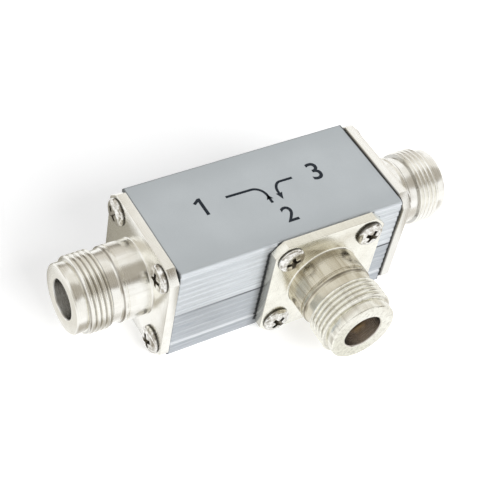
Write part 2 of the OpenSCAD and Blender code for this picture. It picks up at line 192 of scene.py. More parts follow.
# Ranges in which marks on a jack begin, end or fade: along its axis, by radius and across its flange
BARREL_START = (FLANGE_T + 0.1, FLANGE_T + 0.4)
BARREL_STOP = (SHOULDER_REACH - 0.1, SHOULDER_REACH + 0.3)
NECK_STOP = (THREAD_REACH - 0.1, THREAD_REACH + 0.1)
THREAD_START = (THREAD_REACH, THREAD_REACH + 0.2)
THREAD_STOP = (THREAD_END - 0.2, THREAD_END)
GROOVE_FADE = (THREAD_R - THREAD_DEPTH, THREAD_R - 0.25)
OUTSIDE_START = (NECK_R - 0.3, NECK_R - 0.2)
SOCKET_FADE = (SOCKET_R + 0.1, SOCKET_R + 0.2)
FLANGE_SIDE_FADE = (0.04 - FLANGE_HALF, 0.12 - FLANGE_HALF)

# Tints of those marks, all painted: shade away from +X, in the thread's grooves, on its first turn and on
# the flange's side, and shadow behind the flange's back edge
SHADE_TINT = srgb(198, 188, 161)
GROOVE_SHADE = srgb(118, 110, 96)
FIRST_TURN_SHADE = srgb(84, 79, 70)
FLANGE_SIDE_SHADE = srgb(140, 137, 130)
SEAT_SHADOW = srgb(58, 56, 52)

# Plating of each jack: its colour where it is clean, where it has dulled and in the barrel's streaks, how
# strong those streaks are at least and at most, how much painted shade darkens the side away from +X, the
# painted shade in the thread's grooves and on its first turn, the painted shade on the flange's side at -X,
# and the colour inside the socket, painted shade in the bore. Then by how much the pattern of rings moves
# from one jack to the next
PLATINGS = {
    "output": {"light": srgb(253, 252, 246), "dark": srgb(235, 232, 222), "streak": srgb(184, 175, 157),
               "least": 0.0, "most": 0.15, "shade": 0.0, "groove_shade": 0.5, "start": 0.65, "side": 0.15,
               "socket": srgb(194, 193, 190)},
    "input": {"light": srgb(254, 253, 248), "dark": srgb(247, 245, 237), "streak": srgb(190, 182, 166),
              "least": 0.0, "most": 0.15, "shade": 0.0, "groove_shade": 0.0, "start": 0.4, "side": 0.15,
              "socket": srgb(200, 192, 179)},
    "test": {"light": srgb(252, 251, 241), "dark": srgb(236, 233, 221), "streak": srgb(142, 132, 112),
             "least": 0.1, "most": 0.8, "shade": 0.6, "groove_shade": 0.35, "start": 0.65, "side": 0.55,
             "socket": srgb(212, 206, 200)},
}
RING_SHIFT = 10.0

# Screws: a low pan head with a cross recess, and a shank that stays out of sight
SCREW_R = 1.5
SCREW_L = 6
SHANK_CHAMFER = 0.3
HEAD_R = 2.9
HEAD_H = 1.35
HEAD_EDGE = 0.3
HEAD_UNDERCUT = 0.08
HEAD_FULLNESS = 0.82
HEAD_AROUND = 64
HEAD_STEPS = 14
RECESS_R = 1.65
RECESS_FLOOR_R = 1.0
RECESS_W = 0.85
RECESS_FLOOR_W = 0.6
RECESS_DEPTH = 1.05
RECESS_WEB = 0.22
RECESS_OVER = 0.5
RECESS_MARGIN = 0.06

# Angle in degrees of each jack's first screw, the turn from one screw to the next, and how far painted
# shadow climbs the head of its upper right screw
FIRST_TURNS = {"output": 10, "input": 35, "test": 62}
TURN_STEP = 127
CORNER_SHADOW = {"output": 0.0, "input": 0.0, "test": 0.95}
SCREW_SHADOW = srgb(62, 59, 52)
LOW_SHADOW_FADE = (FLANGE_T + 0.2, FLANGE_T + 0.45)
HIGH_SHADOW_FADE = (FLANGE_T + 0.4, FLANGE_T + 0.85)

# Outside of the case, and the lines that cross its walls
CASE_HALF_L = 25.3
CASE_HALF_W = 12.2
CASE_H = 24.4
TEST_PORT_X = 7
SEAM_Z = 12.2
RIB_PITCH = 1.55
LOWER_RIB_Z = 2.4
UPPER_RIB_Z = 21.5
RIB_COUNT = 6
FLANGE_CORNER_Z = 10

# Colours of the case: its flat faces, each half's walls where dark and light (the lower half's darker walls
# are painted shade), and the marks on them, which but for the seam and the back edge are painted highlight,
# shade and shadow
TOP_LIGHT = srgb(197, 203, 207)
TOP_DARK = srgb(188, 194, 198)
TOP_GRAIN = srgb(170, 178, 184)
TOP_BORDER = srgb(178, 184, 188)
UPPER_WALL = (srgb(198, 203, 208), srgb(221, 225, 228))
LOWER_WALL = (srgb(168, 174, 181), srgb(194, 198, 202))
SEAM_TINT = srgb(62, 66, 72)
RIB_SHADE = srgb(158, 163, 169)
TOP_HIGHLIGHT = srgb(244, 247, 250)
SHOULDER_SHADE = srgb(186, 192, 197)
END_SHADOW = srgb(52, 52, 51)
NEAR_FLANGE_SHADE = srgb(104, 106, 108)
BACK_EDGE_TINT = srgb(92, 96, 100)
CONTACT_SHADOW = srgb(60, 61, 62)

# Painted highlight and painted shade near the underside, a bright line over a dark one: height, half width,
# fade, strength and tint
BASE_HIGHLIGHT_AND_SHADE = (
    (3.55, 0.16, 0.22, 0.5, srgb(246, 249, 252)),
    (2.6, 0.1, 0.22, 0.4, srgb(140, 146, 156)),
)

# Inside of the case: weave of the board, from one thread to the next, and numbers of chips and sleeves
WEAVE = 0.9
CHIP_COUNT = 6
SLEEVE_COUNT = 4

# Print on the top of the case: two arrows from the end ports to the test port, and the ports' numbers
PRINT_PROUD = 0.015
PRINT_SUNK = 0.02
ARROW_STROKE = 0.58
ARROW_HEAD_W = 1.45
ARROW_NOTCH = 0.15
ARROW_STEPS = 12

# Name, where the stroke starts, bends and turns down, and along Y its end, its head's base and its tip
ARROWS = (
    ("output_arrow", (-7.75, 2.28), (-2.05, 2.2), (0.28, -0.4), -2.45, -1.45, -0.1),
    ("input_arrow", (7.45, 2.1), (4.6, 2.12), (2.8, -0.4), -0.7, -0.55, -2.4),
)

# Numbers drawn as text: name, digit, lower left corner and height, then the share of the text's size that
# a digit fills and how much its outline grows
DIGITS = (
    ("test_number", "2", (0.4, -8.2), 4.0),
    ("input_number", "3", (11.2, -0.2), 4.6),
)
DIGIT_SHARE = 0.7
DIGIT_BOLD = 0.06
DIGIT_WELD = 0.001
DIGIT_CURVE_STEPS = 6

# The number 1, a plain stroke
ONE_OUTLINE = ((-13.4, -0.6), (-12.7, -0.6), (-12.7, 4.0), (-13.3, 4.0),
               (-14.6, 3.1), (-14.25, 2.6), (-13.4, 3.15))


class Nodes:
    """A node tree, with short ways to add and join its nodes."""

    def __init__(self, tree):
        self.tree = tree

    def add(self, kind, **settings):
        """Adds a node with its settings."""
        made = self.tree.nodes.new(kind)
        for key, value in settings.items():
            setattr(made, key, value)
        return made

    def feed(self, target, value):
        """Joins a socket to another, or gives it a plain value."""
        if isinstance(value, bpy.types.NodeSocket):
            self.tree.links.new(value, target)
        else:
            target.default_value = value

    def place(self, scale=(1, 1, 1)):
        """Object coordinates in millimetres, stretched by a scale for each axis."""
        coordinates = self.add("ShaderNodeTexCoord")
        mapping = self.add("ShaderNodeMapping")
        mapping.inputs["Scale"].default_value = [s / MM for s in scale]
        self.feed(mapping.inputs["Vector"], coordinates.outputs["Object"])
        return mapping.outputs["Vector"]

    def parts(self, vector):
        """The three numbers of a vector."""
        made = self.add("ShaderNodeSeparateXYZ")
        self.feed(made.inputs[0], vector)
        return made.outputs

    def maths(self, operation, first, second=0.0):
        """One operation on one or two values."""
        made = self.add("ShaderNodeMath", operation=operation)
        self.feed(made.inputs[0], first)
        self.feed(made.inputs[1], second)
        return made.outputs[0]

    def times(self, first, *others):
        """Product of shares."""
        product = first
        for share in others:
            product = self.maths("MULTIPLY", product, share)
        return product

    def from_axis(self, place):
        """Distance of a place from the local Z axis."""
        x, y, _ = self.parts(place)
        return self.maths("SQRT", self.maths("ADD", self.times(x, x), self.times(y, y)))

    def noise(self, vector=None, line=None, scale=1.0, detail=3.0, roughness=0.5):
        """Noise in space, or along one value where line is given."""
        made = self.add("ShaderNodeTexNoise")
        made.inputs["Scale"].default_value = scale
        made.inputs["Detail"].default_value = detail
        made.inputs["Roughness"].default_value = roughness
        if line is None:
            self.feed(made.inputs["Vector"], vector)
        else:
            made.noise_dimensions = "1D"
            self.feed(made.inputs["W"], line)
        return made.outputs[0]

    def span(self, value, low, high, to_low, to_high, smooth=False):
        """Spreads a value from one range to another and stops at its ends."""
        made = self.add("ShaderNodeMapRange")
        made.interpolation_type = "SMOOTHSTEP" if smooth else "LINEAR"
        self.feed(made.inputs[0], value)
        for index, number in enumerate((low, high, to_low, to_high), 1):
            made.inputs[index].default_value = number
        return made.outputs[0]

    def rise(self, value, start, end, top=1.0):
        """A share that rises from 0 to its top between two values."""
        return self.span(value, start, end, 0.0, top)

    def fall(self, value, start, end, top=1.0):
        """A share that falls from its top to 0 between two values."""
        return self.span(value, start, end, top, 0.0)

    def near(self, value, middle, half, fade):
        """A share that is 1 within half of a middle value and fades to 0 outside it."""
        away = self.maths("ABSOLUTE", self.maths("SUBTRACT", value, middle))
        return self.fall(away, half, half + fade)

    def blend(self, share, first, second):
        """A colour between two others."""
        made = self.add("ShaderNodeMix", data_type="RGBA")
        self.feed(made.inputs[0], share)
        self.feed(made.inputs[6], first)
        self.feed(made.inputs[7], second)
        return made.outputs[2]

    def tint(self, colour, over, *shares):
        """Lays a colour over another where all the shares say so."""
        return self.blend(self.times(*shares), colour, over)


class Finish(Nodes):
    """A node material and its shader."""

    def __init__(self, name):
        self.material = bpy.data.materials.new(name)
        self.material.use_nodes = True
        super().__init__(self.material.node_tree)
        self.shader = self.tree.nodes["Principled BSDF"]

    def fix(self, name, value):
        """Feeds one of the shader's own sockets."""
        self.feed(self.shader.inputs[name], value)

    def surface(self, colour, metal, rough, height=None, depth=0.0, strength=1.0):
        """Joins colour, metal and roughness, and a bump of the given depth in millimetres."""
        self.fix("Base Color", colour)
        self.fix("Metallic", metal)
        self.fix("Roughness", rough)
        if height is not None:
            bump = self.add("ShaderNodeBump")
            bump.inputs["Strength"].default_value = strength
            bump.inputs["Distance"].default_value = depth * MM
            self.feed(bump.inputs["Height"], height)
            self.fix("Normal", bump.outputs[0])
        return self.material


def nickel_finish(name, shift, plating):
    """Turned and plated metal: fine rings, streaks along the axis, and painted shade on the barrel, in the
    grooves, in the socket and round the flange.
    """
    finish = Finish(name)
    place = finish.place()
    x, _, z = finish.parts(place)
    radius = finish.from_axis(place)
    ring_line = finish.maths("ADD", finish.maths("ADD", radius, z), shift)
    rings = finish.noise(line=ring_line, scale=5.0, detail=4, roughness=0.75)
    clouds = finish.noise(place, scale=0.35)

    colour = finish.blend(finish.rise(clouds, 0.35, 0.7, top=0.5), plating["light"], plating["dark"])
    colour = streak_and_shade_barrel(finish, colour, plating, x, z)
    colour = shade_thread_grooves(finish, colour, plating, radius, z)
    # Painted shade inside the socket's bore
    colour = finish.tint(colour, plating["socket"], finish.fall(radius, *SOCKET_FADE, top=0.95))
    # Painted shade on the flange's side at -X
    colour = finish.tint(colour, FLANGE_SIDE_SHADE, finish.fall(x, *FLANGE_SIDE_FADE, top=plating["side"]))
    # Painted shadow in the gap behind the flange's back edge
    colour = finish.tint(colour, SEAT_SHADOW, finish.fall(z, 0.1, FLANGE_BACK, top=0.85))

    rough = finish.maths("ADD", finish.span(rings, *NOISE_ALL, 0.15, 0.26),
                         finish.rise(clouds, *NOISE_ALL, top=0.06))
    return finish.surface(colour, 1.0, rough, rings, depth=0.01, strength=0.5)


def streak_and_shade_barrel(finish, colour, plating, x, z):
    """Streaks along the barrel, weaker on the flange and the neck, and painted shade on the side away from
    +X.
    """
    streaks = finish.noise(finish.place((1.4, 1.4, 0.1)), roughness=0.6)
    strength = finish.span(streaks, 0.46, 0.7, plating["least"], plating["most"])
    on_barrel = finish.times(finish.span(z, *BARREL_START, 0.12, 1.0),
                             finish.span(z, *BARREL_STOP, 1.0, 0.35))
    colour = finish.tint(colour, plating["streak"], strength, on_barrel)
    # Painted shade over barrel and neck, strongest on the side away from +X
    behind_thread = finish.times(finish.rise(z, *BARREL_START), finish.fall(z, *NECK_STOP))
    shade = finish.span(x, 0, 2.5 * BARREL_R, plating["shade"], 0.0, smooth=True)
    return finish.tint(colour, SHADE_TINT, behind_thread, shade)


def shade_thread_grooves(finish, colour, plating, radius, z):
    """Painted shade in the grooves of the thread, on its first turn and at the foot of the shoulder."""
    outside = finish.rise(radius, *OUTSIDE_START)
    in_thread = finish.times(finish.rise(z, *THREAD_START), finish.fall(z, *THREAD_STOP))
    in_groove = finish.fall(radius, *GROOVE_FADE)
    # Painted shade in the thread's grooves, then on its first turn and at the foot of the shoulder
    colour = finish.tint(colour, GROOVE_SHADE, in_thread, outside, in_groove, plating["groove_shade"])
    on_first_turn = finish.near(z, THREAD_REACH + 0.12, half=0.1, fade=0.15)
    colour = finish.tint(colour, FIRST_TURN_SHADE, on_first_turn, outside, plating["start"])
    on_step = finish.near(z, SHOULDER_REACH + 0.12, half=0.08, fade=0.12)
    return finish.tint(colour, GROOVE_SHADE, on_step, outside, 0.6)


def anodised_finish(name, wall, lighter, rib_low):
    """Satin aluminium: fine matt grain above and below, drawn lines along X on the side walls."""
    finish = Finish(name)
    place = finish.place()
    x, y, z = finish.parts(place)
    facing = finish.parts(finish.add("ShaderNodeNewGeometry").outputs["True Normal"])
    side = finish.rise(finish.maths("ABSOLUTE", facing[1]), 0.5, 0.9)

    grain = finish.noise(place, scale=9.0, detail=2)
    clouds = finish.noise(place, scale=0.09)
    flat = finish.blend(finish.rise(clouds, *NOISE_MIDDLE, top=0.7), TOP_LIGHT, TOP_DARK)
    flat = finish.tint(flat, TOP_GRAIN, finish.rise(grain, *NOISE_HIGH, top=0.2))
    to_border = finish.span(finish.maths("ABSOLUTE", y), 5, 12, 0.0, 0.6, smooth=True)
    flat = finish.tint(flat, TOP_BORDER, to_border)

    long_lines = finish.noise(finish.place((0.02, 0.6, 4.2)), detail=4, roughness=0.7)
    short_lines = finish.noise(finish.place((0.16, 1.0, 6.5)), roughness=0.6)
    lines = finish.maths("ADD", finish.times(long_lines, 0.55), finish.times(short_lines, 0.45 + lighter))
    walls = finish.blend(finish.rise(lines, 0.42, 0.62), *wall)

    colour = finish.blend(side, flat, walls)
    colour = mark_walls(finish, colour, side, rib_low, x, z)
    colour = mark_ends(finish, colour, clouds, x)
    colour = mark_round_flange(finish, colour, side, x, y, z)
    height = finish.blend(side, grain, lines)
    rough = finish.span(side, 0, 1, 0.42, 0.45)
    return finish.surface(colour, 0.55, rough, height, depth=0.02, strength=0.5)


def mark_walls(finish, colour, side, rib_low, x, z):
    """Lines along the walls: the seam, painted shade of the ribs, and painted highlights and shade near the
    base and the top.
    """
    seam = finish.near(z, SEAM_Z, half=0.12, fade=0.22)
    colour = finish.tint(colour, SEAM_TINT, seam, finish.span(x, -CASE_HALF_L, -5, 0.3, 0.9))
    # Painted shade of the ribs, stronger towards the right
    half_row = RIB_PITCH * (RIB_COUNT - 1) / 2
    in_row = finish.near(z, rib_low + half_row, half=half_row + 0.3, fade=0.2)
    from_rib = finish.maths("PINGPONG", finish.maths("SUBTRACT", z, rib_low + 0.2), RIB_PITCH / 2)
    to_right = finish.span(x, 0, CASE_HALF_L, 0.05, 0.3)
    colour = finish.tint(colour, RIB_SHADE, finish.fall(from_rib, 0.05, 0.25), in_row, side, to_right)
    # Painted highlight and shade lines near the base
    for height, half, fade, strength, over in BASE_HIGHLIGHT_AND_SHADE:
        colour = finish.tint(colour, over, finish.near(z, height, half, fade), strength)
    # Painted highlight along the top of the walls
    top_highlight = finish.near(z, CASE_H - 0.85, half=0.2, fade=0.3)
    colour = finish.tint(colour, TOP_HIGHLIGHT, top_highlight, side, 0.3)
    # Painted shade on the round of the walls' top edge
    shoulder = finish.rise(z, CASE_H - 0.5, CASE_H - 0.2, top=0.6)
    return finish.tint(colour, SHOULDER_SHADE, shoulder, side)


def mark_ends(finish, colour, clouds, x):
    """Uneven painted shadow lines where the case meets the flanges at its ends."""
    to_end = finish.maths("ADD", x, finish.span(clouds, *NOISE_ALL, -0.06, 0.06))
    right_end = finish.rise(to_end, CASE_HALF_L - 0.28, CASE_HALF_L - 0.14, top=0.92)
    left_end = finish.fall(to_end, 0.12 - CASE_HALF_L, 0.25 - CASE_HALF_L, top=0.55)
    return finish.tint(colour, END_SHADOW, finish.maths("ADD", right_end, left_end))


def mark_round_flange(finish, colour, side, x, y, z):
    """Painted shade left of the test port's flange, painted shadow lines where it meets the case, and a
    dark back edge.
    """
    in_front = finish.fall(y, -1, 1)
    # Painted shade on the wall left of the flange
    near_flange = finish.near(x, TEST_PORT_X - FLANGE_HALF - 0.1, half=0.16, fade=1.6)
    colour = finish.tint(colour, NEAR_FLANGE_SHADE, near_flange, side, in_front, 0.45)

    back_edge = finish.times(finish.rise(y, CASE_HALF_W - 0.5, CASE_HALF_W - 0.25, top=0.6),
                             finish.rise(z, CASE_H - 0.9, CASE_H - 0.4))
    colour = finish.tint(colour, BACK_EDGE_TINT, back_edge)

    # Painted shadow lines where the flange meets the case
    from_port = finish.maths("ABSOLUTE", finish.maths("SUBTRACT", x, TEST_PORT_X))
    by_flange = finish.times(finish.near(from_port, FLANGE_HALF + 0.1, half=0.16, fade=0.2), in_front, side,
                             finish.near(z, SEAM_Z, half=FLANGE_CORNER_Z, fade=0.3))
    over_flange = finish.times(finish.fall(from_port, FLANGE_HALF - 1.6, FLANGE_HALF - 1.2),
                               finish.fall(y, 0.16 - CASE_HALF_W, 0.32 - CASE_HALF_W))
    return finish.tint(colour, CONTACT_SHADOW, finish.maths("MAXIMUM", by_flange, over_flange), 0.8)


def clouded(finish, place, clean, worn):
    """Faint clouds and tiny pits on a metal, and its colour between clean and worn."""
    clouds = finish.noise(place, scale=1.4, detail=4)
    pits = finish.noise(place, scale=14.0, detail=2)
    return clouds, pits, finish.blend(finish.rise(clouds, *NOISE_HIGH), clean, worn)


def plain_metal_finish(name, clean, worn, rough):
    """A polished or drawn metal."""
    finish = Finish(name)
    clouds, pits, blended = clouded(finish, finish.place(), clean, worn)
    roughness = finish.span(clouds, *NOISE_ALL, rough, rough + 0.12)
    return finish.surface(blended, 1.0, roughness, pits, depth=0.008, strength=0.4)


def screw_finish(name, corner_shadow):
    """Bright steel with painted shadow where the head meets the flange, and higher up on the upper right
    screw.
    """
    finish = Finish(name)
    place = finish.place()
    x, y, z = finish.parts(place)
    clouds, pits, colour = clouded(finish, place, srgb(248, 247, 243), srgb(184, 179, 168))
    low_shadow = finish.fall(z, *LOW_SHADOW_FADE, top=0.9)
    high_shadow = finish.times(finish.fall(z, *HIGH_SHADOW_FADE), finish.rise(x, 0, 1, top=corner_shadow),
                             finish.rise(y, 0, 1))
    colour = finish.tint(colour, SCREW_SHADOW, finish.maths("MAXIMUM", low_shadow, high_shadow))
    rough = finish.span(clouds, *NOISE_ALL, 0.08, 0.18)
    return finish.surface(colour, 1.0, rough, pits, depth=0.006, strength=0.3)


def dielectric_finish():
    """Pressed white dielectric with soft mottling."""
    finish = Finish("pressed_dielectric")
    place = finish.place()
    clouds = finish.noise(place, scale=0.8, detail=4)
    grain = finish.noise(place, scale=11.0, detail=2)
    blended = finish.blend(finish.rise(clouds, *NOISE_MIDDLE), srgb(238, 237, 230), srgb(226, 224, 214))
    return finish.surface(blended, 0.0, 0.35, grain, depth=0.01, strength=0.4)


def board_finish():
    """Glass-filled board under green lacquer, with the weave showing faintly through."""
    finish = Finish("lacquered_board")
    place = finish.place()
    x, y, _ = finish.parts(place)
    warp, weft = [finish.maths("SINE", finish.times(along, 2 * math.pi / WEAVE)) for along in (x, y)]
    weave = finish.maths("ABSOLUTE", finish.times(warp, weft))
    clouds = finish.noise(place, scale=0.25)
    colour = finish.blend(finish.rise(clouds, *NOISE_MIDDLE), srgb(46, 122, 78), srgb(36, 104, 66))
    colour = finish.tint(colour, srgb(92, 150, 104), finish.rise(weave, 0.0, 1.0, top=0.3))
    finish.fix("Coat Weight", 0.5)
    finish.fix("Coat Roughness", 0.15)
    return finish.surface(colour, 0.0, 0.45, weave, depth=0.01, strength=0.4)


def chip_finish():
    """A chip resistor: black glazed body, tinned wraps at both ends of its length."""
    finish = Finish("chip_resistor")
    along = finish.parts(finish.add("ShaderNodeTexCoord").outputs["Generated"])[0]
    clouds = finish.noise(finish.place(), scale=3.0, detail=4)
    from_middle = finish.maths("ABSOLUTE", finish.maths("SUBTRACT", along, 0.5))
    wrap = finish.rise(from_middle, 0.36, 0.38)
    body = finish.blend(finish.rise(clouds, *NOISE_MIDDLE), srgb(34, 33, 32), srgb(48, 46, 44))
    tin = finish.blend(finish.rise(clouds, *NOISE_MIDDLE), srgb(214, 213, 208), srgb(176, 174, 168))
    rough = finish.span(clouds, *NOISE_ALL, 0.25, 0.42)
    return finish.surface(finish.blend(wrap, body, tin), wrap, rough, clouds, depth=0.01, strength=0.4)


def ferrite_finish():
    """Pressed ferrite: dark grey, matt and finely grained."""
    finish = Finish("ferrite")
    place = finish.place()
    clouds = finish.noise(place, scale=0.7, detail=4)
    grain = finish.noise(place, scale=8.0, detail=4, roughness=0.7)
    colour = finish.blend(finish.rise(clouds, *NOISE_MIDDLE), srgb(66, 66, 70), srgb(52, 52, 56))
    colour = finish.tint(colour, srgb(92, 92, 96), finish.rise(grain, 0.55, 0.75, top=0.5))
    rough = finish.span(grain, *NOISE_ALL, 0.5, 0.75)
    return finish.surface(colour, 0.2, rough, grain, depth=0.03, strength=0.6)


def print_finish():
    """Thin printed ink, a little uneven."""
    finish = Finish("printed_ink")
    clouds = finish.noise(finish.place(), scale=3.0, detail=4)
    blended = finish.blend(finish.rise(clouds, *NOISE_HIGH), srgb(26, 32, 40), srgb(38, 45, 53))
    finish.fix("Specular IOR Level", 0.2)
    return finish.surface(blended, 0.0, 0.5, clouds, depth=0.004, strength=0.3)


def linked(name, data):
    """A new object in the scene."""
    made = bpy.data.objects.new(name, data)
    bpy.context.scene.collection.objects.link(made)
    return made


def mesh_from(name, bm):
    """Turns a bmesh into a mesh."""
    mesh = bpy.data.meshes.new(name)
    bm.to_mesh(mesh)
    bm.free()
    return mesh


def finished_object(name, bm, material):
    """Turns a bmesh in millimetres into an object with smooth faces and sharp corners."""
    bmesh.ops.recalc_face_normals(bm, faces=bm.faces)
    bmesh.ops.scale(bm, vec=(MM, MM, MM), verts=bm.verts)
    mesh = mesh_from(name, bm)
    for polygon in mesh.polygons:
        polygon.use_smooth = True
    mesh.set_sharp_from_angle(angle=math.radians(SHARP_ANGLE))
    mesh.materials.append(material)
    return linked(name, mesh)


def around_axis(radius, angle, height):
    """A point given by its distance from the local Z axis, its angle and its height."""
    return (radius * math.cos(angle), radius * math.sin(angle), height)


def join(bm, rings):
    """Joins each ring to the next one with quads."""
    for first, second in zip(rings, rings[1:]):
        for i in range(len(first)):
            after = (i + 1) % len(first)
            bm.faces.new((first[i], first[after], second[after], second[i]))


def revolve(bm, outline, count=AROUND, centre=(0, 0)):
    """Joins a ring for each point of an outline of radius and height, and returns the rings."""
    rings = []
    for radius, height in outline:
        points = [around_axis(radius, 2 * math.pi * i / count, height) for i in range(count)]
        rings.append([bm.verts.new((centre[0] + x, centre[1] + y, z)) for x, y, z in points])
    join(bm, rings)
    return rings


def softened(points, soft):
    """Cuts each inner corner of an outline with a small round of three points."""
    made = [points[0]]
    for before, corner, after in zip(points, points[1:], points[2:]):
        into = Vector(before) - Vector(corner)
        out = Vector(after) - Vector(corner)
        cut = min(soft, into.length / 3, out.length / 3)
        start = Vector(corner) + into.normalized() * cut
        end = Vector(corner) + out.normalized() * cut
        middle = (start + end + 2 * Vector(corner)) / 4
        made += [tuple(start), tuple(middle), tuple(end)]
    made.append(points[-1])
    return made


def flange_ring(bm, half, blank_r, height):
    """Outline of the flange: a square whose corners follow the round of the turned blank."""
    straight = math.acos(min(1, half / blank_r))
    made = []
    for side in range(4):
        for step in range(FLANGE_CORNER_STEPS):
            share = step / (FLANGE_CORNER_STEPS - 1)
            angle = straight + (math.pi / 2 - 2 * straight) * share + side * math.pi / 2
            made.append(bm.verts.new(around_axis(blank_r, angle, height)))
    return made


def fill_between(bm, rings, upwards):
    """Fills the flat face bounded by several rings at one height."""
    edges = []
    for verts in rings:
        for i, vert in enumerate(verts):
            other = verts[(i + 1) % len(verts)]
            edges.append(bm.edges.get((vert, other)) or bm.edges.new((vert, other)))
    normal = Vector((0, 0, 1 if upwards else -1))
    bmesh.ops.triangle_fill(bm, use_beauty=True, use_dissolve=False, edges=edges, normal=normal)


def thread_period():
    """One turn of the thread's outline: phase along the axis and radius, with softened corners."""
    root_r = THREAD_R - THREAD_DEPTH
    flank = (PITCH - CREST_W - ROOT_W) / 2
    corners = [
        (-CREST_W / 2, THREAD_R),
        (CREST_W / 2, THREAD_R),
        (CREST_W / 2 + flank, root_r),
        (CREST_W / 2 + flank + ROOT_W, root_r),
        (PITCH - CREST_W / 2, THREAD_R),
    ]
    made = []
    for corner, after in zip(corners, corners[1:]):
        for share in (THREAD_EASE, 0.5, 1 - THREAD_EASE):
            made.append((corner[0] + (after[0] - corner[0]) * share,
                         corner[1] + (after[1] - corner[1]) * share))
    return made


def thread_limit(height):
    """Radius that the chamfer at each end of the thread allows."""
    low = NECK_R + (height - THREAD_REACH) * (THREAD_R - NECK_R) / THREAD_CHAMFER
    end_r = NOSE_R - RELIEF_DEPTH
    high = end_r + (THREAD_END - height) * (THREAD_R - end_r) / THREAD_CHAMFER
    return min(low, high)


def add_thread(bm):
    """A right-handed thread between the neck and the relief behind the nose."""
    period = thread_period()
    turns = math.ceil((THREAD_END - THREAD_REACH) / PITCH) + 2
    rows = [(phase + turn * PITCH, radius) for turn in range(turns) for phase, radius in period]
    columns = []
    for i in range(AROUND):
        angle = 2 * math.pi * i / AROUND
        lead = THREAD_REACH - PITCH + PITCH * i / AROUND
        column = []
        for phase, radius in rows:
            height = min(max(lead + phase, THREAD_REACH), THREAD_END)
            column.append(bm.verts.new(around_axis(min(radius, thread_limit(height)), angle, height)))
        columns.append(column)
    for i in range(AROUND):
        after = columns[(i + 1) % AROUND]
        shift = len(period) if i == AROUND - 1 else 0
        here = columns[i]
        for j in range(len(rows) - 1 - shift):
            bm.faces.new((here[j], after[j + shift], after[j + 1 + shift], here[j + 1]))


def flange_hole(bm, centre):
    """First and last ring of one screw hole, from the front face to the back face."""
    outline = [(HOLE_R + HOLE_BREAK, FLANGE_T), (HOLE_R, FLANGE_T - HOLE_BREAK),
               (HOLE_R, HOLE_BREAK), (HOLE_R + HOLE_BREAK, 0)]
    rings = revolve(bm, outline, HOLE_AROUND, centre)
    return rings[0], rings[-1]


def barrel_outline():
    """Outline of the jack from its flange's face over fillet, barrel and shoulder to the thread."""
    fillet = []
    for step in range(FILLET_STEPS + 1):
        angle = math.radians(270 - 90 * step / FILLET_STEPS)
        fillet.append((BARREL_R + BARREL_FILLET * (1 + math.cos(angle)),
                       FLANGE_T + BARREL_FILLET * (1 + math.sin(angle))))
    line_end = SHOULDER_REACH - SHOULDER_LINE_BACK
    barrel = softened([
        fillet[-1],
        (BARREL_R, line_end - SHOULDER_LINE_W),
        (BARREL_R - SHOULDER_LINE_DEPTH, line_end - SHOULDER_LINE_W),
        (BARREL_R - SHOULDER_LINE_DEPTH, line_end),
        (BARREL_R, line_end),
        (BARREL_R, SHOULDER_REACH),
        (NECK_R, SHOULDER_REACH + SHOULDER_SLOPE),
        (NECK_R, THREAD_REACH),
    ], CORNER_SOFT)
    return fillet[:-1] + barrel


def nose_outline(reach):
    """Outline of the jack from the end of its thread over nose and rim to the back of its bore."""
    return softened([
        (NOSE_R - RELIEF_DEPTH, THREAD_END),
        (NOSE_R - RELIEF_DEPTH, THREAD_END + RELIEF_W),
        (NOSE_R, THREAD_END + RELIEF_W),
        (NOSE_R, reach - RIM_CHAMFER),
        (NOSE_R - RIM_CHAMFER, reach),
        (SOCKET_R + MOUTH_CHAMFER, reach),
        (SOCKET_R, reach - MOUTH_CHAMFER),
        (SOCKET_R, reach - SOCKET_DEPTH),
        (LINE_R, reach - SOCKET_DEPTH),
        (LINE_R, INSULATOR_REACH),
        (SEAT_R, INSULATOR_REACH),
        (SEAT_R, 0),
    ], CORNER_SOFT)


def jack_mesh(half, reach):
    """The whole body of a jack, in millimetres, with local Z pointing out of the case."""
    bm = bmesh.new()
    behind = revolve(bm, barrel_outline())
    add_thread(bm)
    ahead = revolve(bm, nose_outline(reach))

    middle = FLANGE_SOFT * FLANGE_SOFT_MIDDLE
    edge = [(FLANGE_BACK, 0), (0, FLANGE_BACK), (0, FLANGE_T - FLANGE_SOFT),
            (middle, FLANGE_T - middle), (FLANGE_SOFT, FLANGE_T)]
    outline = [flange_ring(bm, half - inset, FLANGE_BLANK_D / 2 - inset, height) for inset, height in edge]
    join(bm, outline)
    places = (-HOLE_PLACE, HOLE_PLACE)
    holes = [flange_hole(bm, (x, y)) for x in places for y in places]
    fill_between(bm, [outline[-1], behind[0]] + [hole[0] for hole in holes], True)
    fill_between(bm, [outline[0], ahead[-1]] + [hole[1] for hole in holes], False)
    bmesh.ops.remove_doubles(bm, verts=bm.verts, dist=WELD)
    return bm


def port_frame(port):
    """Frame of a port, whose Z points out of the case's face, half its flange's width and its reach."""
    low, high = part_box(port + "_jack_body")
    turn = Matrix.Rotation(math.radians(PORT_TURNS[port]), 4, "Z") @ Matrix.Rotation(math.pi / 2, 4, "X")
    outward = turn.to_3x3() @ Vector((0, 0, 1))
    size = high - low
    reach = abs(size.dot(outward))
    half = max(size[i] for i in range(3) if abs(outward[i]) < 0.5) / 2
    place = Matrix.Translation((low + high) / 2 - outward * reach / 2)
    return place @ turn, half / MM, reach / MM


def add_jack(port, shift):
    """One jack body with its cut thread, in place of the plain solid."""
    matrix, half, reach = port_frame(port)
    finish = nickel_finish(port + "_nickel", shift, PLATINGS[port])
    made = finished_object(port + "_jack", jack_mesh(half, reach), finish)
    made.matrix_world = matrix
    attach(made, "root")
    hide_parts(port + "_jack_body")


